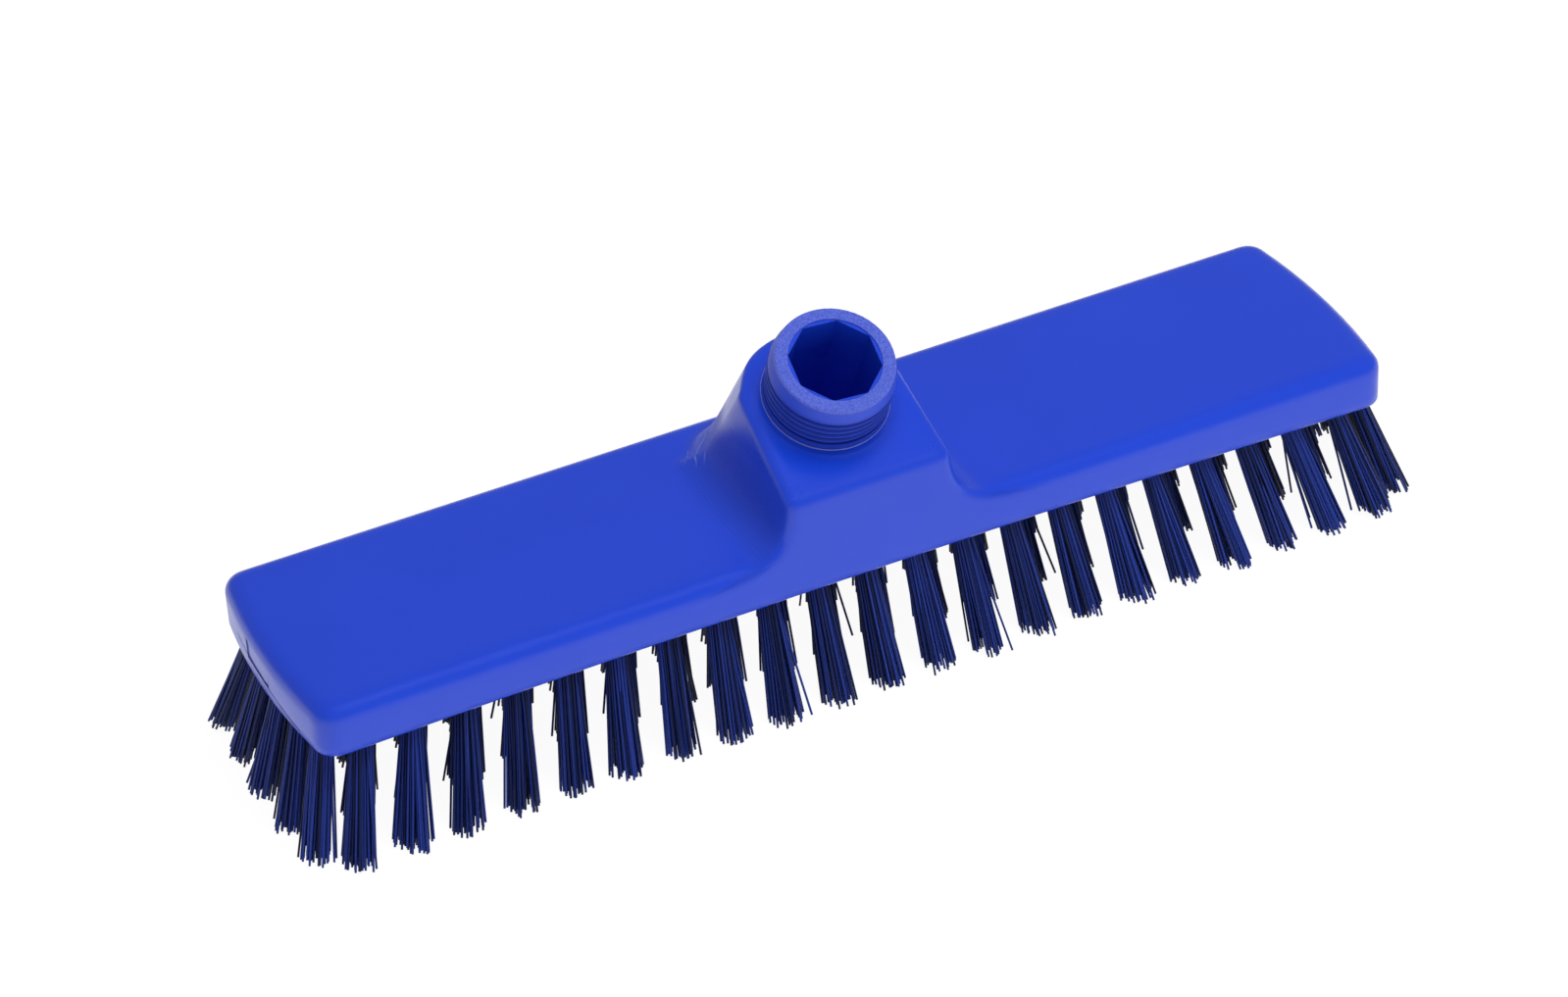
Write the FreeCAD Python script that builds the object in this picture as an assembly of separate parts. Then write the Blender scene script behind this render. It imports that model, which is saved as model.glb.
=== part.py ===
"""Deck scrubber head: one moulded block with a threaded handle socket, and its tufted bristle field.

Millimetres. X runs along the block, -Y is the side that the handle leans to, +Z is up.
The origin is the middle of the plane in which the bristles are trimmed.
"""
import FreeCAD, Part
import math
import os

Vector = FreeCAD.Vector

# Block
block_length = 300.0
block_width = 66.0
block_edge_height = 14.0
underside_rise = 1.8
arch_spans = 6
end_bulge = 3.0
plan_corner_radius = 6.0
top_edge_radius = 4.0
bottom_edge_radius = 1.2

# Shallow panel and fine line that the mould leaves on each end
panel_width = 14.2
panel_offset = 2.9
panel_top = 9.8
panel_depth = 0.2
line_length = 39.0
line_offset = -1.5
line_rise = 4.0
line_slope_deg = 5.4
line_width = 0.35
line_depth = 0.5

# Bristle field
trim_length = 30.0
column_spacing = 13.55
side_tuft_inset = 6.5
end_tuft_inset = 5.2
end_tuft_count = 5
end_tuft_side_inset = 11.5
tip_clearance = 0.7
end_lean_deg = 14.5
side_lean_deg = 19.4

# Tufts, their holes and the flat anchors that they are folded round
hole_radius = 3.0
hole_roof = 2.7
tuft_clearance = 0.05
tuft_flare = 0.05
fold_height = 1.6
anchor_height = 2.0
anchor_thickness = 0.4
anchor_bite = 0.5
anchor_clearance = 0.03

# Handle socket
socket_tilt_deg = 25.0
socket_axis_offset = 3.5
mouth_reach = 45.6
socket_across_flats = 21.6
socket_depth = 38.0
socket_taper_deg = 0.6
socket_turn_deg = -4.5
mouth_recess_depth = 0.4
mouth_recess_margin = 0.15

# Threaded neck round the socket
neck_length = 16.0
thread_crest_radius = 16.0
thread_depth = 1.1
thread_pitch = 2.0
thread_root_width = 0.45
thread_crest_width = 0.5
lead_in_length = 3.6
lead_in_drop = 1.0
mouth_edge_radius = 0.6
relief_length = 1.0
relief_undercut = 0.2
collar_length = 1.8
foot_ring_height = 0.4
foot_ring_margin = 0.3

# Boss under the neck
boss_rim_radius = 20.6
boss_side_draft_deg = 8.0
boss_back_draft_deg = 3.0
boss_corner_radius = 2.5
boss_rim_fillet = 1.8
boss_foot_flare = 7.1
boss_foot_decay = 2.8
boss_back_flare = 1.2
boss_back_fullness = 1.0
boss_sink = 0.45
boss_skim = 0.02
boss_flank_land = 3.4

# The boss is drawn through level outlines, crowded towards its foot where it flares most
boss_blend_steps = 12
boss_blend_crowding = 1.8
boss_back_spans = 8

block_bottom = trim_length
block_top = block_bottom + block_edge_height
front_y = -block_width / 2
hole_depth = block_edge_height - underside_rise - hole_roof
tuft_radius = hole_radius - tuft_clearance
tip_radius = tuft_radius + tuft_flare * (trim_length - hole_radius)
field_half_length = block_length / 2 - end_tuft_inset - 2 * tip_radius - tip_clearance
half_columns = round(field_half_length / column_spacing)
column_pitch = field_half_length / half_columns
row_pitch = (block_width / 2 - side_tuft_inset) / 2
end_tuft_pitch = (block_width - 2 * end_tuft_side_inset) / (end_tuft_count - 1)
tilt = math.radians(socket_tilt_deg)
socket_axis = Vector(0, -math.sin(tilt), math.cos(tilt))
axis_foot = Vector(0, socket_axis_offset, block_top)
mouth = axis_foot + socket_axis * mouth_reach
rim = mouth - socket_axis * neck_length
crease_height = rim.z + (front_y - rim.y) * math.tan(tilt) - block_top
neck_placement = FreeCAD.Placement(mouth, FreeCAD.Rotation(Vector(1, 0, 0), socket_tilt_deg))
octagon_radius = socket_across_flats / 2 / math.cos(math.pi / 8)
thread_root_radius = thread_crest_radius - thread_depth
# How far a cutting shape runs past what it cuts
slack = 2.0


def arc(first, middle, last):
    """An edge along the circle through three points."""
    return Part.Arc(first, middle, last).toShape()


def line(first, last):
    return Part.LineSegment(first, last).toShape()


def arch_radius():
    """Radius of the underside's arch, from its rise over the block's length."""
    half = block_length / 2
    return (half ** 2 + underside_rise ** 2) / (2 * underside_rise)


def underside_z(x):
    """Height of the arched underside at a place along the block."""
    radius = arch_radius()
    centre_z = block_bottom + underside_rise - radius
    return centre_z + math.sqrt(radius ** 2 - x ** 2)


def end_arc_radius():
    """Radius of the bowed ends, from their bulge over the block's width."""
    half = block_width / 2
    return (half ** 2 + end_bulge ** 2) / (2 * end_bulge)


def end_x(y):
    """How far the bowed end reaches at a place across the block."""
    radius = end_arc_radius()
    return block_length / 2 - radius + math.sqrt(radius ** 2 - y ** 2)


def block_slab():
    """The flat block: bowed ends, rounded corners and edges, arched underside."""
    corner = end_x(block_width / 2)
    tip = block_length / 2
    corners = [
        Vector(-corner, front_y, block_bottom),
        Vector(corner, front_y, block_bottom),
        Vector(corner, -front_y, block_bottom),
        Vector(-corner, -front_y, block_bottom),
    ]
    right_tip = Vector(tip, 0, block_bottom)
    left_tip = Vector(-tip, 0, block_bottom)
    outline = Part.Wire([
        line(corners[0], corners[1]),
        arc(corners[1], right_tip, corners[2]),
        line(corners[2], corners[3]),
        arc(corners[3], left_tip, corners[0]),
    ])
    slab = Part.Face(outline).extrude(Vector(0, 0, block_edge_height))
    upright = [edge for edge in slab.Edges if is_upright(edge)]
    slab = slab.makeFillet(plan_corner_radius, upright)
    slab = slab.makeFillet(top_edge_radius, edges_at(slab, block_top))
    slab = slab.cut(arch())
    underside = min(slab.Faces, key=lambda face: face.CenterOfMass.z)
    return slab.makeFillet(bottom_edge_radius, underside.Edges)


def arch():
    """The space under the arched underside, as a smooth curve drawn across the block."""
    reach = block_length / 2 + slack
    across = front_y - slack
    places = [reach * step / arch_spans for step in range(-arch_spans, arch_spans + 1)]
    crown = [Vector(x, across, underside_z(x)) for x in places]
    curve = Part.BSplineCurve()
    curve.interpolate(crown)
    below = [Vector(reach, across, 0), Vector(-reach, across, 0)]
    outline = Part.Wire([
        curve.toShape(),
        line(crown[-1], below[0]),
        line(below[0], below[1]),
        line(below[1], crown[0]),
    ])
    return Part.Face(outline).extrude(Vector(0, block_width + 2 * slack, 0))


def end_marks():
    """The shallow panel and the sloping line on each bowed end, as the skins that they take off."""
    marks = []
    for side in (-1, 1):
        low_x = min(side * block_length, 0)
        panel = Part.makeBox(
            block_length,
            panel_width,
            panel_top - line_rise,
            Vector(low_x, panel_offset - panel_width / 2, block_bottom + line_rise),
        )
        marks.append(end_skin(side, panel_depth).common(panel))
        fine_line = Part.makeBox(
            block_length,
            line_length,
            line_width,
            Vector(low_x, line_offset - line_length / 2, -line_width / 2),
        )
        slope = FreeCAD.Rotation(Vector(1, 0, 0), line_slope_deg)
        fine_line.Placement = FreeCAD.Placement(Vector(0, 0, block_bottom + line_rise), slope)
        marks.append(end_skin(side, line_depth).common(fine_line))
    return marks


def end_skin(side, depth):
    """The outer skin of one bowed end, as deep as asked."""
    radius = end_arc_radius()
    centre = Vector(side * (block_length / 2 - radius), 0, block_bottom)
    outer = Part.makeCylinder(radius + slack, block_edge_height, centre)
    return outer.cut(Part.makeCylinder(radius - depth, block_edge_height, centre))


def is_upright(edge):
    box = edge.BoundBox
    return box.XLength + box.YLength < 1e-6


def edges_at(shape, height):
    """The edges of a shape that lie flat at one height."""
    return [
        edge for edge in shape.Edges
        if abs(edge.BoundBox.ZMin - height) < 1e-6 and abs(edge.BoundBox.ZMax - height) < 1e-6
    ]


def boss_section(height):
    """One level outline of the boss: straight flanks, a rounded front and a back that fills out downwards."""
    rim_height = rim.z - block_top
    side_draft = math.tan(math.radians(boss_side_draft_deg))
    back_draft = math.tan(math.radians(boss_back_draft_deg))
    decay = math.exp(-height / boss_foot_decay)
    side = boss_rim_radius + side_draft * (rim_height - height)
    half_width = side + boss_foot_flare * decay
    axis_y = socket_axis_offset - height * math.tan(tilt)
    back = (boss_rim_radius + back_draft * (rim_height - height)) / math.cos(tilt)
    below_rim = min(max(1 - height / rim_height, 0), 1)
    roundness = 2 / (2 + boss_back_fullness * math.sqrt(below_rim))
    z = block_top + height
    y_low = front_y - boss_skim
    radius = boss_corner_radius
    bend = radius * (1 - math.sqrt(0.5))
    back_points = []
    for step in range(boss_back_spans + 1):
        along = math.cos(math.pi * step / boss_back_spans)
        across = math.sin(math.pi * step / boss_back_spans)
        flare = boss_foot_flare + (boss_back_flare - boss_foot_flare) * across
        x = math.copysign(side * abs(along) ** roundness, along) + flare * decay * along
        y = axis_y + back * across ** roundness + flare * min(decay, 1) * across
        back_points.append(Vector(x, y, z))
    back_curve = Part.BSplineCurve()
    back_curve.interpolate(back_points, InitialTangent=Vector(0, 1, 0), FinalTangent=Vector(0, -1, 0))
    left = -half_width
    right = half_width
    return Part.Wire([
        back_curve.toShape(),
        line(Vector(left, axis_y, z), Vector(left, y_low + radius, z)),
        arc(
            Vector(left, y_low + radius, z),
            Vector(left + bend, y_low + bend, z),
            Vector(left + radius, y_low, z),
        ),
        line(Vector(left + radius, y_low, z), Vector(right - radius, y_low, z)),
        arc(
            Vector(right - radius, y_low, z),
            Vector(right - bend, y_low + bend, z),
            Vector(right, y_low + radius, z),
        ),
        line(Vector(right, y_low + radius, z), Vector(right, axis_y, z)),
    ])


def boss():
    """The boss that carries the neck, cut off square to the socket's axis."""
    foot = -(top_edge_radius + boss_sink)
    blend_top = crease_height - boss_flank_land
    shares = [(step / boss_blend_steps) ** boss_blend_crowding for step in range(boss_blend_steps + 1)]
    heights = [foot + (blend_top - foot) * share for share in shares]
    sections = [boss_section(height) for height in heights + [mouth_reach]]
    body = Part.makeLoft(sections, True, True)
    size = block_length
    above = Part.makeBox(size, size, size, Vector(-size / 2, -size / 2, -neck_length))
    above.Placement = neck_placement
    ahead = Part.makeBox(size, size, size, Vector(-size / 2, front_y - size, 0))
    body = body.cut(above).cut(ahead)
    top = [face for face in body.Faces if faces_along(face, socket_axis)]
    return body.makeFillet(boss_rim_fillet, top[0].OuterWire.Edges)


def faces_along(face, direction):
    """Whether a face is flat and looks along the direction."""
    return isinstance(face.Surface, Part.Plane) and face.normalAt(0, 0).dot(direction) > 1 - 1e-6


def turned(outline):
    """A solid turned about Z from (radius, height) points."""
    points = [Vector(radius, 0, along) for radius, along in outline]
    return Part.Face(Part.makePolygon(points + points[:1])).revolve(Vector(), Vector(0, 0, 1), 360)


def neck():
    """The neck, measured down from its mouth: lead-in, thread, relief groove, collar, foot ring."""
    crest = thread_crest_radius
    relief = thread_root_radius - relief_undercut
    foot = crest + foot_ring_margin
    ring_top = foot_ring_height - neck_length
    collar_top = ring_top + collar_length
    thread_foot = collar_top + relief_length
    lower = turned([
        (0, thread_foot),
        (relief, thread_foot),
        (relief, collar_top),
        (crest, collar_top),
        (crest, ring_top),
        (foot, ring_top),
        (foot, -neck_length - slack),
        (0, -neck_length - slack),
    ])
    upper = turned([
        (0, 0),
        (crest - lead_in_drop, 0),
        (crest, -lead_in_length),
        (crest, thread_foot),
        (0, thread_foot),
    ])
    upper = upper.makeFillet(mouth_edge_radius, edges_at(upper, 0))
    body = lower.fuse(upper.cut(thread_groove(thread_foot)))
    body.Placement = neck_placement
    return body


def thread_groove(thread_foot):
    """The helical groove, from one turn below the thread's foot up to the lead-in."""
    root_half = thread_root_width / 2
    crest_half = (thread_pitch - thread_crest_width) / 2
    past = thread_crest_width / 4
    past_half = crest_half + past * (crest_half - root_half) / thread_depth
    corners = [
        Vector(thread_root_radius, 0, -root_half),
        Vector(thread_crest_radius + past, 0, -past_half),
        Vector(thread_crest_radius + slack, 0, -past_half),
        Vector(thread_crest_radius + slack, 0, past_half),
        Vector(thread_crest_radius + past, 0, past_half),
        Vector(thread_root_radius, 0, root_half),
    ]
    profile = Part.makePolygon(corners + corners[:1])
    first = thread_foot - thread_pitch
    last = -lead_in_length - past_half
    helix = Part.makeHelix(thread_pitch, last - first, thread_root_radius)
    groove = Part.Wire(helix.Edges).makePipeShell([profile], True, True)
    groove.translate(Vector(0, 0, first))
    return groove


def octagon(across_flats, along):
    """A regular octagon square to the socket's axis, turned a little from flats towards the block's ends."""
    radius = across_flats / 2 / math.cos(math.pi / 8)
    first = math.pi / 8 + math.radians(socket_turn_deg)
    corners = [
        Vector(radius * math.cos(angle), radius * math.sin(angle), along)
        for angle in [first + math.pi / 4 * step for step in range(8)]
    ]
    return Part.makePolygon(corners + corners[:1])


def socket():
    """The space inside the neck: a shallow round recess, then a tapered octagon."""
    narrowing = 2 * socket_depth * math.tan(math.radians(socket_taper_deg))
    shaft = Part.makeLoft(
        [
            octagon(socket_across_flats - narrowing, -socket_depth),
            octagon(socket_across_flats, 0),
        ],
        True,
        True,
    )
    recess = Part.makeCylinder(
        octagon_radius + mouth_recess_margin,
        mouth_recess_depth + slack,
        Vector(0, 0, -mouth_recess_depth),
    )
    space = shaft.fuse(recess)
    space.Placement = neck_placement
    return space


def tuft_roots():
    """Where each tuft leaves the underside, by column: staggered rows, then the two bowed ends."""
    columns = []
    for step in range(4 * half_columns + 1):
        x = (step - 2 * half_columns) * column_pitch / 2
        rows = (-2, 0, 2) if step % 2 == 0 else (-1, 1)
        columns.append((f"bristle_column_{step + 1:02d}", [(x, row * row_pitch) for row in rows]))
    for name, side in (("bristle_end_left", -1), ("bristle_end_right", 1)):
        middle = (end_tuft_count - 1) / 2
        across = [(step - middle) * end_tuft_pitch for step in range(end_tuft_count)]
        columns.append((name, [(side * (end_x(y) - end_tuft_inset), y) for y in across]))
    return columns


def tuft_placement(x, y):
    """A frame at a tuft's root whose Z axis runs up its hole, leaning with the fan."""
    slope_x = math.tan(math.radians(end_lean_deg)) * x / field_half_length
    slope_y = math.tan(math.radians(side_lean_deg)) * y / (2 * row_pitch)
    up_the_hole = Vector(-slope_x, -slope_y, 1)
    turn = FreeCAD.Rotation(Vector(0, 0, 1), up_the_hole)
    return FreeCAD.Placement(Vector(x, y, underside_z(x)), turn)


def anchor_plate(margin):
    """The flat anchor in a tuft's own frame, or with a margin the space that it takes."""
    length = 2 * (hole_radius + anchor_bite)
    top = hole_depth - fold_height
    return Part.makeBox(
        anchor_thickness + 2 * margin,
        length + 2 * margin,
        anchor_height + 2 * margin,
        Vector(
            -anchor_thickness / 2 - margin,
            -length / 2 - margin,
            top - anchor_height - margin,
        ),
    )


def placed(shape, x, y):
    shape.Placement = tuft_placement(x, y)
    return shape


def tuft_hole():
    """One blind hole with the two grooves that the anchor's ends run in."""
    hole = Part.makeCylinder(hole_radius, hole_depth + slack, Vector(0, 0, -slack))
    groove = anchor_plate(anchor_clearance)
    run = groove.BoundBox.ZMax + slack
    groove = Part.makeBox(
        groove.BoundBox.XLength,
        groove.BoundBox.YLength,
        run,
        Vector(groove.BoundBox.XMin, groove.BoundBox.YMin, -slack),
    )
    return hole.fuse(groove)


def tuft(x, y):
    """One tuft: the folded shank in its hole, then a flared bundle trimmed flat."""
    reach = 2 * trim_length
    body = turned([
        (0, hole_depth),
        (tuft_radius, hole_depth),
        (tuft_radius, -hole_radius),
        (tuft_radius + tuft_flare * (reach - hole_radius), -reach),
        (0, -reach),
    ])
    body = placed(body.cut(anchor_plate(anchor_clearance)), x, y)
    size = 2 * reach
    below = Part.makeBox(size, size, size, Vector(x - size / 2, y - size / 2, -size))
    return body.cut(below)


def brush_block(columns):
    """The whole moulding: slab, boss and neck in one, with the socket and the tuft holes."""
    hole = tuft_hole()
    holes = [placed(hole.copy(), x, y) for name, roots in columns for x, y in roots]
    whole = block_slab().fuse([boss(), neck()]).removeSplitter()
    return whole.cut(holes + end_marks() + [socket()])


def export(name, solids):
    Part.makeCompound(solids).exportStep(os.path.join("parts", name + ".step"))


def anchor_rows(columns):
    """The anchors in groups: one for each row of tufts, and one for each end."""
    groups = {}
    for name, roots in columns:
        for x, y in roots:
            if name.startswith("bristle_column"):
                group = f"anchors_row_{round(y / row_pitch) + 3}"
            else:
                group = name.replace("bristle", "anchors")
            groups.setdefault(group, []).append(placed(anchor_plate(0), x, y))
    return groups


os.makedirs("parts", exist_ok=True)
tuft_columns = tuft_roots()
export("brush_block", [brush_block(tuft_columns)])
for column_name, column_roots in tuft_columns:
    export(column_name, [tuft(x, y) for x, y in column_roots])
for group_name, anchors in anchor_rows(tuft_columns).items():
    export(group_name, anchors)
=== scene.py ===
import math

import bmesh
import bpy
from mathutils import Matrix, Vector


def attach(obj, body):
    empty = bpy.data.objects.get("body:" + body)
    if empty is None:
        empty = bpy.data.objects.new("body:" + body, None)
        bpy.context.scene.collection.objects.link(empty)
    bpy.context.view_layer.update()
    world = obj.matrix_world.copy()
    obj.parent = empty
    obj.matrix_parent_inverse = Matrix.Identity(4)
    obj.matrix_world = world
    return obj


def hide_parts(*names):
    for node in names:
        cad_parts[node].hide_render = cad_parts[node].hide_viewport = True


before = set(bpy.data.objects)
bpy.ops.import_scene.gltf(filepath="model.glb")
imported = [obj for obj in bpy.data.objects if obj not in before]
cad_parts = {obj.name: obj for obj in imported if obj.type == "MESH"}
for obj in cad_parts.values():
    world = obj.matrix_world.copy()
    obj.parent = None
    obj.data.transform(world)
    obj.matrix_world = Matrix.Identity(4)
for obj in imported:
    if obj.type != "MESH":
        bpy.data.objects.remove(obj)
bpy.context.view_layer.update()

# The block: slab, boss and neck, injection moulded in one piece of blue polypropylene.
# Its skin is satiny, and duller round the boss's foot, where a mould is hard to polish. The neck
# is turned and threaded after moulding, and the boss's foot carries a few handling scratches.
neck_mouth = (0, -0.015771, 0.085328)
neck_tilt = math.radians(25)
neck_foot = -0.01595
neck_reach = 0.0166
neck_clear_of_boss = (0.0172, 0.0180)
collar_foot = -0.0036
collar_blend = 0.0003
rim_start, rim_end = -0.0011, -0.0005
thread_crest = 0.0160
thread_root = 0.0149
socket_reach = 0.01176
hairline = 0.00004
soft_edge = 0.0045
smooth_below = math.radians(24)

boss_side = (0.0165, 0.0185)
boss_foot_end = (0.030, 0.038)
boss_foot_front = (-0.0325, -0.0290)
boss_foot_low = (0.0438, 0.0480)
boss_foot_high = (0.0540, 0.0640)
scratch_centre = (-0.0219, 0.0162, 0.0478)
scratch_reach = (0.0090, 0.0095, 0.0068)
scratch_turn = math.radians(38)
scratch_gap = 0.004
scratch_bands = 105.0
scratch_wander = 4.2
scratch_strength = 0.7

swirl_size = 0.045
satin_patch = 0.016
peel_size = 0.0024
chatter_size = 0.0005
tool_mark_bands = 900.0
tool_mark_wander = 1.5
relief_strength = 0.05
relief_depth = 0.0003
satin_roughness = 0.20, 0.27
dull_roughness = 0.46, 0.60
foot_ring_strength = 0.7
moulded_tones = (0.0060, 0.0440, 0.545), (0.0100, 0.0545, 0.610)
turned_tones = (0.050, 0.085, 0.48), (0.105, 0.148, 0.64)
# painted shade for the thread's grooves and the band under the collar
painted_groove_shade_tone = (0.0020, 0.0170, 0.190)
# pale tone of the neck's foot ring: partly a turning burr, partly a painted highlight
foot_burr_and_highlight_tone = (0.30, 0.34, 0.72)
scratch_tone = (0.13, 0.25, 0.68)


def step(tree, kind, inputs=None, **settings):
    """One node with its settings, and its inputs linked to sockets or set to values."""
    made = tree.nodes.new(kind)
    for name, value in settings.items():
        setattr(made, name, value)
    for place, value in (inputs or {}).items():
        if isinstance(value, bpy.types.NodeSocket):
            tree.links.new(value, made.inputs[place])
        else:
            made.inputs[place].default_value = value
    return made


def maths(tree, operation, *values):
    return step(tree, "ShaderNodeMath", dict(enumerate(values)), operation=operation).outputs[0]


def all_of(tree, *masks):
    """The share that every mask leaves."""
    share = masks[0]
    for mask in masks[1:]:
        share = maths(tree, "MULTIPLY", share, mask)
    return share


def any_of(tree, *masks):
    """The largest share that a mask leaves."""
    share = masks[0]
    for mask in masks[1:]:
        share = maths(tree, "MAXIMUM", share, mask)
    return share


def fade(tree, value, start, end, low=0.0, high=1.0):
    """A value that goes smoothly from low to high between start and end."""
    ends = {"Value": value, "From Min": start, "From Max": end, "To Min": low, "To Max": high}
    return step(tree, "ShaderNodeMapRange", ends, interpolation_type="SMOOTHSTEP").outputs[0]


def mottle(tree, place, size, detail):
    """Soft uneven patches of about one size."""
    pattern = {"Vector": place, "Scale": 1 / size, "Detail": detail}
    return step(tree, "ShaderNodeTexNoise", pattern).outputs[0]


def tint(tree, share, first, second):
    """A colour between two colours."""
    first, second = [(*c, 1) if isinstance(c, tuple) else c for c in (first, second)]
    colours = {0: share, 6: first, 7: second}
    return step(tree, "ShaderNodeMix", colours, data_type="RGBA").outputs[2]


def mixed(tree, share, first, second):
    values = {0: share, 2: first, 3: second}
    return step(tree, "ShaderNodeMix", values, data_type="FLOAT").outputs[0]


block_plastic = bpy.data.materials.new("block_blue_polypropylene")
block_plastic.use_nodes = True
tree = block_plastic.node_tree
skin = tree.nodes["Principled BSDF"]
skin.inputs["IOR"].default_value = 1.49
place = step(tree, "ShaderNodeTexCoord").outputs["Object"]
axes = step(tree, "ShaderNodeSeparateXYZ", {0: place}).outputs
on_neck = step(
    tree,
    "ShaderNodeMapping",
    {"Vector": place, "Location": neck_mouth, "Rotation": (neck_tilt, 0, 0)},
    vector_type="TEXTURE",
).outputs[0]
neck_axes = step(tree, "ShaderNodeSeparateXYZ", {0: on_neck}).outputs
up_neck = neck_axes["Z"]
across = step(
    tree, "ShaderNodeCombineXYZ", {"X": neck_axes["X"], "Y": neck_axes["Y"]}
).outputs[0]
off_axis = step(tree, "ShaderNodeVectorMath", {0: across}, operation="LENGTH").outputs["Value"]

turned = all_of(
    tree,
    fade(tree, up_neck, neck_foot - hairline, neck_foot),
    fade(tree, off_axis, socket_reach, socket_reach + hairline),
    fade(tree, off_axis, neck_reach, neck_reach + 0.0002, 1, 0),
)
rim = fade(tree, up_neck, rim_start, rim_end)
collar = fade(tree, up_neck, collar_foot - collar_blend, collar_foot, 0, 0.1)
crests = fade(tree, off_axis, thread_crest - 0.0005, thread_crest - 0.0001, 0, 0.1)
rubbed = all_of(tree, turned, any_of(tree, rim, collar, crests))
# The thread below the collar is darkened, most at the groove roots: painted shade in the grooves
# and under the collar.
painted_groove_shade = all_of(
    tree,
    turned,
    fade(tree, up_neck, collar_foot - collar_blend, collar_foot, 1, 0),
    fade(tree, off_axis, thread_root, thread_crest - 0.0002, 0.9, 0.25),
)
# The pale ring at the neck's foot is partly a burr left by turning and partly a painted highlight.
foot_ring = all_of(
    tree, turned, fade(tree, off_axis, thread_crest + 0.0001, thread_crest + 0.0002)
)

near_scratches = step(
    tree, "ShaderNodeVectorMath", {0: place, 1: scratch_centre}, operation="SUBTRACT"
).outputs[0]
spread = step(
    tree, "ShaderNodeVectorMath", {0: near_scratches, 1: scratch_reach}, operation="DIVIDE"
).outputs[0]
from_scratches = step(
    tree, "ShaderNodeVectorMath", {0: spread}, operation="LENGTH"
).outputs["Value"]
along_scratches = step(
    tree, "ShaderNodeMapping", {"Vector": near_scratches, "Rotation": (0, 0, scratch_turn)}
).outputs[0]
wavy = step(
    tree,
    "ShaderNodeTexWave",
    {
        "Vector": along_scratches,
        "Scale": scratch_bands,
        "Distortion": scratch_wander,
        "Detail": 1.0,
        "Detail Scale": 1.2,
    },
    wave_type="BANDS",
    bands_direction="X",
).outputs[1]
scratched = all_of(
    tree,
    fade(tree, wavy, 0.95, 0.99),
    fade(tree, from_scratches, 0.6, 1.0, 1, 0),
    fade(tree, mottle(tree, place, scratch_gap, 1.0), 0.38, 0.52),
)

swirl = mottle(tree, place, swirl_size, 3.0)
chatter = mottle(tree, place, chatter_size, 2.0)
moulded_blue = tint(tree, swirl, *moulded_tones)
turned_blue = tint(tree, fade(tree, chatter, 0.3, 0.7), *turned_tones)
blue = tint(tree, rubbed, moulded_blue, turned_blue)
# painted shade in the thread's grooves and under the collar
blue = tint(tree, painted_groove_shade, blue, painted_groove_shade_tone)
blue = tint(tree, maths(tree, "MULTIPLY", foot_ring, foot_ring_strength), blue, foot_burr_and_highlight_tone)
blue = tint(tree, maths(tree, "MULTIPLY", scratched, scratch_strength), blue, scratch_tone)
tree.links.new(blue, skin.inputs["Base Color"])

aside = maths(tree, "ABSOLUTE", axes["X"])
boss_foot = all_of(
    tree,
    fade(tree, aside, *boss_side),
    fade(tree, aside, *boss_foot_end, 1, 0),
    fade(tree, axes["Y"], *boss_foot_front),
    fade(tree, axes["Z"], *boss_foot_low),
    fade(tree, axes["Z"], *boss_foot_high, 1, 0),
)
satin = fade(tree, mottle(tree, place, satin_patch, 4.0), 0.2, 0.8, *satin_roughness)
dull = fade(tree, chatter, 0.2, 0.8, *dull_roughness)
unpolished = any_of(tree, turned, boss_foot)
tree.links.new(mixed(tree, unpolished, satin, dull), skin.inputs["Roughness"])

peel = mottle(tree, place, peel_size, 2.0)
tool_marks = step(
    tree,
    "ShaderNodeTexWave",
    {"Vector": on_neck, "Scale": tool_mark_bands, "Distortion": tool_mark_wander},
    wave_type="BANDS",
    bands_direction="Z",
).outputs[1]
tooled = maths(tree, "ADD", maths(tree, "MULTIPLY", tool_marks, 0.6), chatter)
height = maths(tree, "SUBTRACT", mixed(tree, turned, peel, tooled), scratched)
crisp = all_of(
    tree,
    fade(tree, up_neck, neck_foot - 0.0012, neck_foot - 0.0004),
    fade(tree, off_axis, *neck_clear_of_boss, 1, 0),
)
true_facing = step(tree, "ShaderNodeNewGeometry").outputs["Normal"]
soft_facing = step(tree, "ShaderNodeBevel", {"Radius": soft_edge}, samples=8).outputs[0]
facing = step(
    tree, "ShaderNodeMix", {0: crisp, 4: soft_facing, 5: true_facing}, data_type="VECTOR"
).outputs[1]
relief = step(
    tree,
    "ShaderNodeBump",
    {"Strength": relief_strength, "Distance": relief_depth, "Height": height, "Normal": facing},
).outputs[0]
tree.links.new(relief, skin.inputs["Normal"])

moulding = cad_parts["brush_block"].data.copy()
moulding.name = "brush_block_moulding"
shell = bmesh.new()
shell.from_mesh(moulding)
bmesh.ops.remove_doubles(shell, verts=shell.verts, dist=1e-6)
shell.to_mesh(moulding)
shell.free()
if "custom_normal" in moulding.attributes:
    moulding.attributes.remove(moulding.attributes["custom_normal"])
moulding.shade_smooth()
moulding.set_sharp_from_angle(angle=smooth_below)
moulding.materials.clear()
moulding.materials.append(block_plastic)
block = bpy.data.objects.new("brush_block_moulding", moulding)
bpy.context.scene.collection.objects.link(block)
even = block.modifiers.new("even_shading", "WEIGHTED_NORMAL")
even.keep_sharp = True
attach(block, "root")
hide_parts("brush_block")

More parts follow.
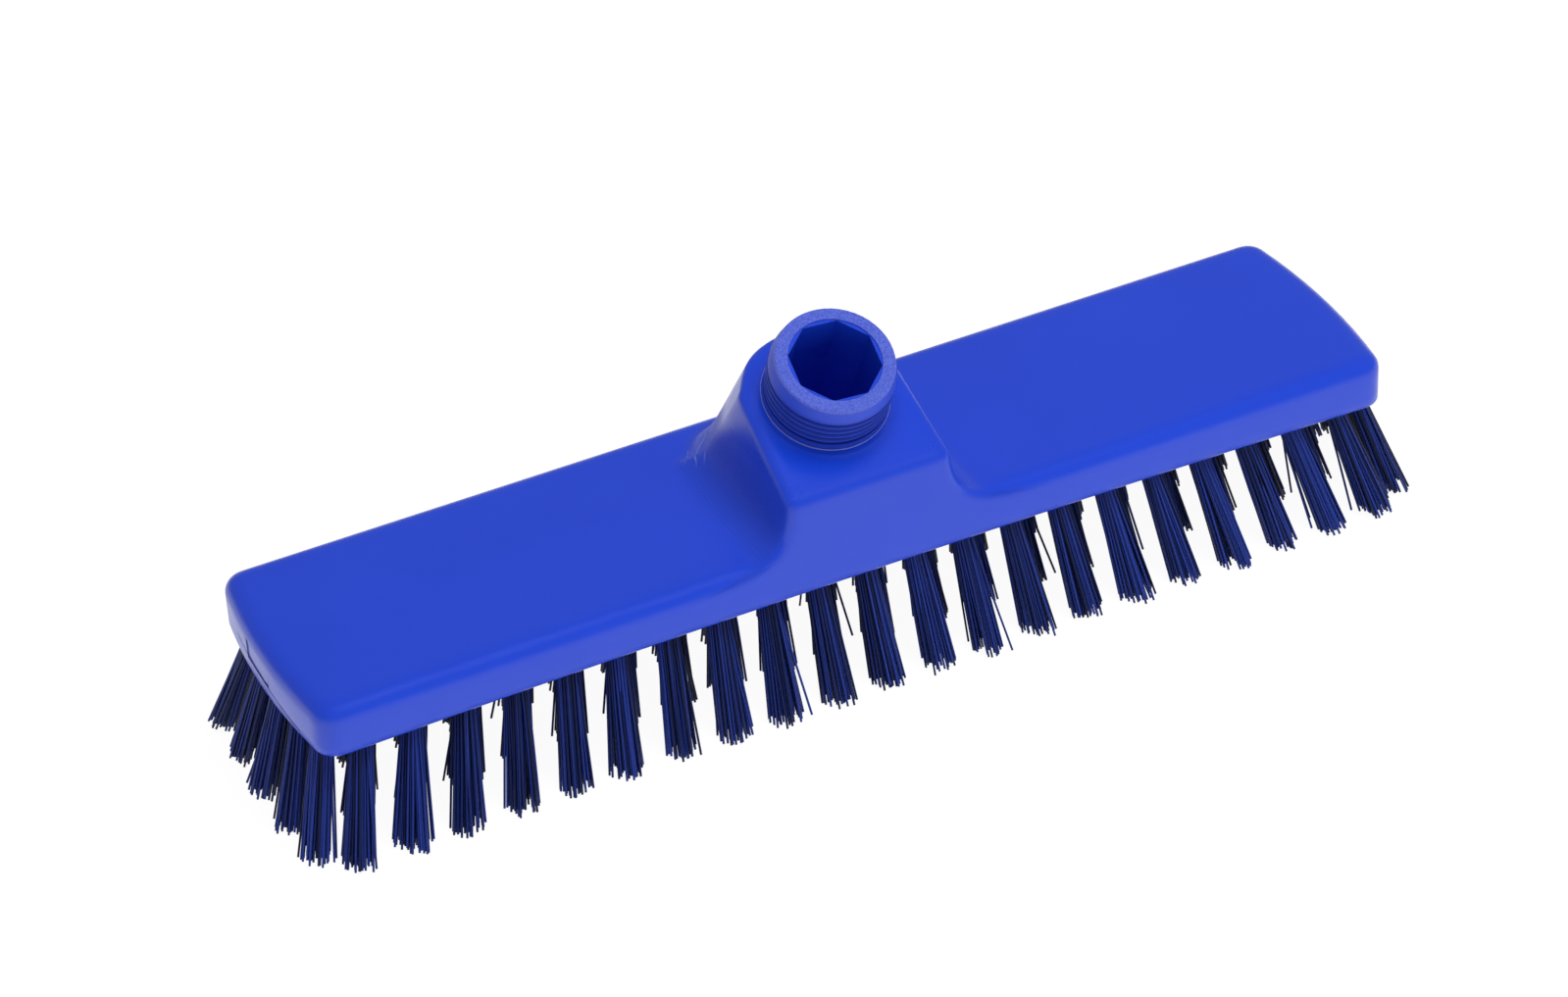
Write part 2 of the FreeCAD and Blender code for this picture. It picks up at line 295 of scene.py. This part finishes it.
# The tufts: bundles of stiff dark blue polyester filament, each folded over an anchor in its hole.
# They fan out to the front, the back and both ends and are trimmed level after filling. The cut
# leaves the ends a little uneven, and here and there a filament stands away from its bundle.
half_length = 0.150
half_width = 0.033
end_bulge = 0.003
trim_length = 0.030
underside_rise = 0.0018
column_count = 41
column_pitch = 0.01355
row_pitch = 0.01325
end_tuft_count = 5
end_pitch = 0.01075
end_inset = 0.0052
field_half_length = 0.1355
end_lean = math.tan(math.radians(14.5))
side_lean = math.tan(math.radians(19.4))
hole_reach = 0.0055

golden_turn = math.pi * (3 - math.sqrt(5))
full_turn = 2 * math.pi
turn_between_tufts = 1.7
least_reach = 0.93
reach_range = 0.10
lock_size = 0.0026
lock_step = 7.3
lock_seed_step = 3.1
waver = 0.00012
longest_cut = 0.995
cut_power = 2.2
draws_for_seed = 20
stations_along = 4
sides_of_filament = 6
round_below = math.radians(75)
filament_roughness = 0.34, 0.50
filament_tones = (0.0018, 0.0060, 0.036), (0.0150, 0.037, 0.262)

bundle = bpy.data.node_groups.new("tuft_of_filaments", "GeometryNodeTree")
bundle.is_modifier = True
sizes = {}
for name, kind in {
    "Roots": "Geometry",
    "Filaments": "Int",
    "Filament radius": "Float",
    "Root spread": "Float",
    "Tip spread": "Float",
    "Uneven trim": "Float",
    "Parting": "Float",
    "Stray share": "Float",
    "Stray lean": "Float",
    "Furthest tip": "Vector",
    "Seed": "Int",
    "Filament plastic": "Material",
}.items():
    socket = bundle.interface.new_socket(name, in_out="INPUT", socket_type="NodeSocket" + kind)
    sizes[name] = socket.identifier
bundle.interface.new_socket("Filaments", in_out="OUTPUT", socket_type="NodeSocketGeometry")
asked = step(bundle, "NodeGroupInput").outputs


def plus(first, second):
    return maths(bundle, "ADD", first, second)


def times(first, second):
    return maths(bundle, "MULTIPLY", first, second)


def kept(points, name, kind, value):
    """The points with a value kept on them under a name."""
    return step(
        bundle,
        "GeometryNodeStoreNamedAttribute",
        {"Geometry": points, "Name": name, "Value": value},
        data_type=kind,
        domain="POINT",
    ).outputs[0]


def read(name, kind):
    return step(
        bundle, "GeometryNodeInputNamedAttribute", {"Name": name}, data_type=kind
    ).outputs[0]


def chance(salt):
    """A random number from 0 to 1 for each filament."""
    seed = plus(times(asked["Seed"], draws_for_seed), salt)
    drawn = {"ID": number, "Seed": seed}
    return step(bundle, "FunctionNodeRandomValue", drawn, data_type="FLOAT").outputs[1]


def level(angle, length):
    """A level vector of a length, at an angle."""
    x = times(maths(bundle, "COSINE", angle), length)
    y = times(maths(bundle, "SINE", angle), length)
    return step(bundle, "ShaderNodeCombineXYZ", {"X": x, "Y": y}).outputs[0]


def vectors(operation, *values, **named):
    inputs = {**dict(enumerate(values)), **named}
    return step(bundle, "ShaderNodeVectorMath", inputs, operation=operation).outputs[0]


def between(share, first, second):
    inputs = {0: share, 4: first, 5: second}
    return step(bundle, "ShaderNodeMix", inputs, data_type="VECTOR").outputs[1]


roots = step(bundle, "GeometryNodeMeshToPoints", {"Mesh": asked["Roots"]}).outputs[0]
roots = kept(roots, "tuft", "INT", step(bundle, "GeometryNodeInputIndex").outputs[0])
strands = step(
    bundle,
    "GeometryNodeDuplicateElements",
    {0: roots, "Amount": asked["Filaments"]},
    domain="POINT",
)
strands = kept(strands.outputs[0], "strand", "INT", strands.outputs[1])
stations = step(
    bundle, "GeometryNodeDuplicateElements", {0: strands, "Amount": stations_along}, domain="POINT"
)
points = kept(stations.outputs[0], "station", "INT", stations.outputs[1])

tuft = read("tuft", "INT")
strand = read("strand", "INT")
station = read("station", "INT")
number = plus(times(tuft, asked["Filaments"]), strand)
share = maths(bundle, "SQRT", maths(bundle, "DIVIDE", plus(strand, 0.5), asked["Filaments"]))
angle = plus(times(strand, golden_turn), times(tuft, turn_between_tufts))
at_root = level(angle, times(share, asked["Root spread"]))
reach = plus(least_reach, times(chance(1), reach_range))
at_tip = level(angle, times(times(share, asked["Tip spread"]), reach))

locks = step(
    bundle,
    "ShaderNodeTexVoronoi",
    {
        "Vector": at_root,
        "W": plus(times(tuft, lock_step), times(asked["Seed"], lock_seed_step)),
        "Scale": 1 / lock_size,
    },
    voronoi_dimensions="4D",
).outputs["Color"]
locks = vectors("MULTIPLY", vectors("SUBTRACT", locks, (0.5, 0.5, 0.5)), (1, 1, 0))
parting = vectors("SCALE", locks, Scale=asked["Parting"])
is_stray = maths(bundle, "LESS_THAN", chance(2), asked["Stray share"])
stray_reach = times(times(is_stray, chance(3)), asked["Stray lean"])
stray = level(times(chance(4), full_turn), stray_reach)

mouth = vectors("ADD", read("root", "FLOAT_VECTOR"), at_root)
inside = vectors("ADD", mouth, read("up_hole", "FLOAT_VECTOR"))
tip = vectors("ADD", read("tip", "FLOAT_VECTOR"), at_tip)
tip = vectors("ADD", tip, vectors("ADD", parting, stray))
tip = vectors("MINIMUM", tip, asked["Furthest tip"])
tip = vectors("MAXIMUM", tip, vectors("SCALE", asked["Furthest tip"], Scale=-1.0))
short = times(maths(bundle, "POWER", chance(5), cut_power), asked["Uneven trim"])
tip = between(maths(bundle, "SUBTRACT", longest_cut, short), mouth, tip)
middle = vectors("ADD", between(0.5, mouth, tip), level(times(chance(6), full_turn), waver))


def at_station(which, here, elsewhere):
    """One place at a station along the filament, and another place at the rest."""
    here_now = step(
        bundle, "FunctionNodeCompare", {2: station, 3: which}, data_type="INT", operation="EQUAL"
    ).outputs[0]
    places = {"Switch": here_now, "False": elsewhere, "True": here}
    return step(bundle, "GeometryNodeSwitch", places, input_type="VECTOR").outputs[0]


where = at_station(0, inside, at_station(1, mouth, at_station(2, middle, tip)))
points = kept(points, "filament_tone", "FLOAT", chance(8))
points = step(
    bundle, "GeometryNodeSetPosition", {"Geometry": points, "Position": where}
).outputs[0]
lines = step(
    bundle, "GeometryNodePointsToCurves", {0: points, "Curve Group ID": number, "Weight": station}
).outputs[0]
section = step(
    bundle,
    "GeometryNodeCurvePrimitiveCircle",
    {"Resolution": sides_of_filament, "Radius": asked["Filament radius"]},
    mode="RADIUS",
).outputs[0]
made = step(
    bundle,
    "GeometryNodeCurveToMesh",
    {"Curve": lines, "Profile Curve": section, "Fill Caps": True},
).outputs[0]
for name in ("tuft", "strand", "station", "root", "tip", "up_hole", "radius"):
    made = step(bundle, "GeometryNodeRemoveAttribute", {"Geometry": made, "Name": name}).outputs[0]
made = step(bundle, "GeometryNodeRealizeInstances", {0: made}).outputs[0]
made = step(
    bundle, "GeometryNodeSetMaterial", {"Geometry": made, "Material": asked["Filament plastic"]}
).outputs[0]
step(bundle, "NodeGroupOutput", {0: made})

filament_plastic = bpy.data.materials.new("filament_dark_blue_polyester")
filament_plastic.use_nodes = True
tree = filament_plastic.node_tree
sheen = tree.nodes["Principled BSDF"]
sheen.inputs["IOR"].default_value = 1.50
sheen.inputs["Specular IOR Level"].default_value = 0.2
tone = step(tree, "ShaderNodeAttribute", attribute_name="filament_tone").outputs["Fac"]
tree.links.new(tint(tree, tone, *filament_tones), sheen.inputs["Base Color"])
tree.links.new(fade(tree, tone, 0.0, 1.0, *filament_roughness), sheen.inputs["Roughness"])


def underside(x):
    radius = (half_length ** 2 + underside_rise ** 2) / (2 * underside_rise)
    return trim_length + underside_rise - radius + math.sqrt(radius ** 2 - x ** 2)


def end_face(y):
    radius = (half_width ** 2 + end_bulge ** 2) / (2 * end_bulge)
    return half_length - radius + math.sqrt(radius ** 2 - y ** 2)


tuft_places = {}
for column in range(column_count):
    rows = (-2, 0, 2) if column % 2 == 0 else (-1, 1)
    x = (column - column_count // 2) * column_pitch / 2
    tuft_places[f"bristle_column_{column + 1:02d}"] = [(x, row * row_pitch) for row in rows]
for name, side in (("bristle_end_left", -1), ("bristle_end_right", 1)):
    along = [(spot - end_tuft_count // 2) * end_pitch for spot in range(end_tuft_count)]
    tuft_places[name] = [(side * (end_face(y) - end_inset), y) for y in along]

for seed, (name, places) in enumerate(tuft_places.items()):
    holes = bpy.data.meshes.new(name + "_holes")
    holes.from_pydata([(x, y, underside(x)) for x, y in places], [], [])
    facts = {
        label: holes.attributes.new(label, "FLOAT_VECTOR", "POINT")
        for label in ("root", "tip", "up_hole")
    }
    for spot, (x, y) in enumerate(places):
        root = Vector((x, y, underside(x)))
        lean = Vector((end_lean * x / field_half_length, side_lean * y / (2 * row_pitch), -1))
        facts["root"].data[spot].vector = root
        facts["tip"].data[spot].vector = root + lean * root.z
        facts["up_hole"].data[spot].vector = -lean.normalized() * hole_reach
    holder = bpy.data.objects.new(name + "_holes", holes)
    bpy.context.scene.collection.objects.link(holder)
    filling = holder.modifiers.new("filling", "NODES")
    filling.node_group = bundle
    for label, value in {
        "Filaments": 66,
        "Filament radius": 0.00030,
        "Root spread": 0.00262,
        "Tip spread": 0.0043,
        "Uneven trim": 0.075,
        "Parting": 0.0019,
        "Stray share": 0.045,
        "Stray lean": 0.0052,
        "Furthest tip": (0.1573, 0.0421, 1.0),
        "Seed": seed,
        "Filament plastic": filament_plastic,
    }.items():
        filling[sizes[label]] = value
    bpy.context.view_layer.update()
    filled = holder.evaluated_get(bpy.context.evaluated_depsgraph_get())
    filaments = bpy.data.meshes.new_from_object(filled)
    bpy.data.objects.remove(holder)
    if not filaments.polygons:
        raise RuntimeError(f"{name} came out with no filaments")
    filaments.shade_smooth()
    filaments.set_sharp_from_angle(angle=round_below)
    tufts = bpy.data.objects.new(name + "_filaments", filaments)
    bpy.context.scene.collection.objects.link(tufts)
    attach(tufts, "root")
    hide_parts(name)

# The anchors: short lengths of flat stainless wire, cut off and driven into the walls of the
# holes. Each one holds the fold of its tuft, out of sight in the block.
drawn_grain = 0.0006
wire_roughness = 0.25, 0.42
wire_tones = (0.52, 0.52, 0.51), (0.68, 0.68, 0.66)
anchor_steel = bpy.data.materials.new("anchor_flat_steel_wire")
anchor_steel.use_nodes = True
tree = anchor_steel.node_tree
steel = tree.nodes["Principled BSDF"]
steel.inputs["Metallic"].default_value = 1.0
drawn = mottle(tree, step(tree, "ShaderNodeTexCoord").outputs["Object"], drawn_grain, 2.0)
tree.links.new(tint(tree, drawn, *wire_tones), steel.inputs["Base Color"])
tree.links.new(fade(tree, drawn, 0.2, 0.8, *wire_roughness), steel.inputs["Roughness"])
for name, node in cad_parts.items():
    if name.startswith("anchors"):
        node.data.materials.clear()
        node.data.materials.append(anchor_steel)

# The studio: a sheet of white paper on the floor, which also fills the background, in a grey room.
# One soft box stands above the brush and a low one in front of it. A third lamp lights the paper
# alone, so that it comes out white and throws light back on the sides.
paper_reach = 6.0
paper_lift = 0.95
paper_white = (0.92, 0.92, 0.92, 1)
room_grey = (0.32, 0.32, 0.33, 1)
corner_signs = ((-1, -1), (1, -1), (1, 1), (-1, 1))
paper_corners = [(x * paper_reach, y * paper_reach, 0) for x, y in corner_signs]
paper_sheet = bpy.data.meshes.new("studio_floor")
paper_sheet.from_pydata(paper_corners, [], [(0, 1, 2, 3)])
floor = bpy.data.objects.new("studio_floor", paper_sheet)
bpy.context.scene.collection.objects.link(floor)

white_paper = bpy.data.materials.new("floor_white_paper")
white_paper.use_nodes = True
tree = white_paper.node_tree
tree.nodes.clear()
rays = step(tree, "ShaderNodeLightPath").outputs
seen = any_of(tree, rays["Is Camera Ray"], rays["Is Glossy Ray"], rays["Is Transmission Ray"])
paper = step(tree, "ShaderNodeBsdfDiffuse", {"Color": paper_white}).outputs[0]
glow = step(tree, "ShaderNodeEmission", {"Color": (1, 1, 1, 1), "Strength": 1.0}).outputs[0]
lifted = step(
    tree,
    "ShaderNodeMixShader",
    {0: maths(tree, "MULTIPLY", seen, paper_lift), 1: paper, 2: glow},
).outputs[0]
step(tree, "ShaderNodeOutputMaterial", {"Surface": lifted})
paper_sheet.materials.append(white_paper)

studio = bpy.data.worlds.new("studio")
bpy.context.scene.world = studio
studio.use_nodes = True
tree = studio.node_tree
tree.nodes.clear()
room = step(tree, "ShaderNodeBackground", {"Color": room_grey}).outputs[0]
step(tree, "ShaderNodeOutputWorld", {"Surface": room})

paper_only = bpy.data.collections.new("paper_only")
paper_only.objects.link(floor)
aim = Vector((0, 0, 0.045))
for name, direction, distance, width, height, watts in (
    ("soft_box_above", (0.12, -0.25, 0.96), 1.2, 0.7, 0.7, 12.2),
    ("soft_box_front", (0.25, -0.97, 0.03), 1.2, 1.2, 0.08, 1.3),
    ("paper_light", (0.0, 0.0, 1.0), 1.4, 0.7, 0.7, 12.0),
):
    lamp = bpy.data.lights.new(name, "AREA")
    lamp.shape = "RECTANGLE"
    lamp.size = width
    lamp.size_y = height
    lamp.energy = watts
    stand = bpy.data.objects.new(name, lamp)
    stand.location = aim + Vector(direction).normalized() * distance
    stand.rotation_euler = (aim - stand.location).to_track_quat("-Z", "Y").to_euler()
    stand.visible_glossy = False
    bpy.context.scene.collection.objects.link(stand)
    if name == "paper_light":
        stand.light_linking.receiver_collection = paper_only

# The camera: it stands in front to the left and looks down on the brush, with a long lens.
# It is turned a little about its own line of sight, as the photograph is.
camera_place = (-0.440572, -0.945824, 0.804483)
camera_heading = math.radians(-24.5443)
camera_rise = math.radians(90 - 36.4593)
camera_roll = math.radians(-3.1889)
lens = bpy.data.cameras.new("front_left_camera")
lens.sensor_fit = "HORIZONTAL"
lens.sensor_width = 36.0
lens.lens = 118.217
camera = bpy.data.objects.new("front_left_camera", lens)
heading = Matrix.Rotation(camera_heading, 4, "Z")
rise = Matrix.Rotation(camera_rise, 4, "X")
roll = Matrix.Rotation(camera_roll, 4, "Z")
camera.matrix_world = Matrix.Translation(camera_place) @ heading @ rise @ roll
bpy.context.scene.collection.objects.link(camera)
bpy.context.scene.camera = camera
bpy.context.scene.view_settings.view_transform = "Standard"
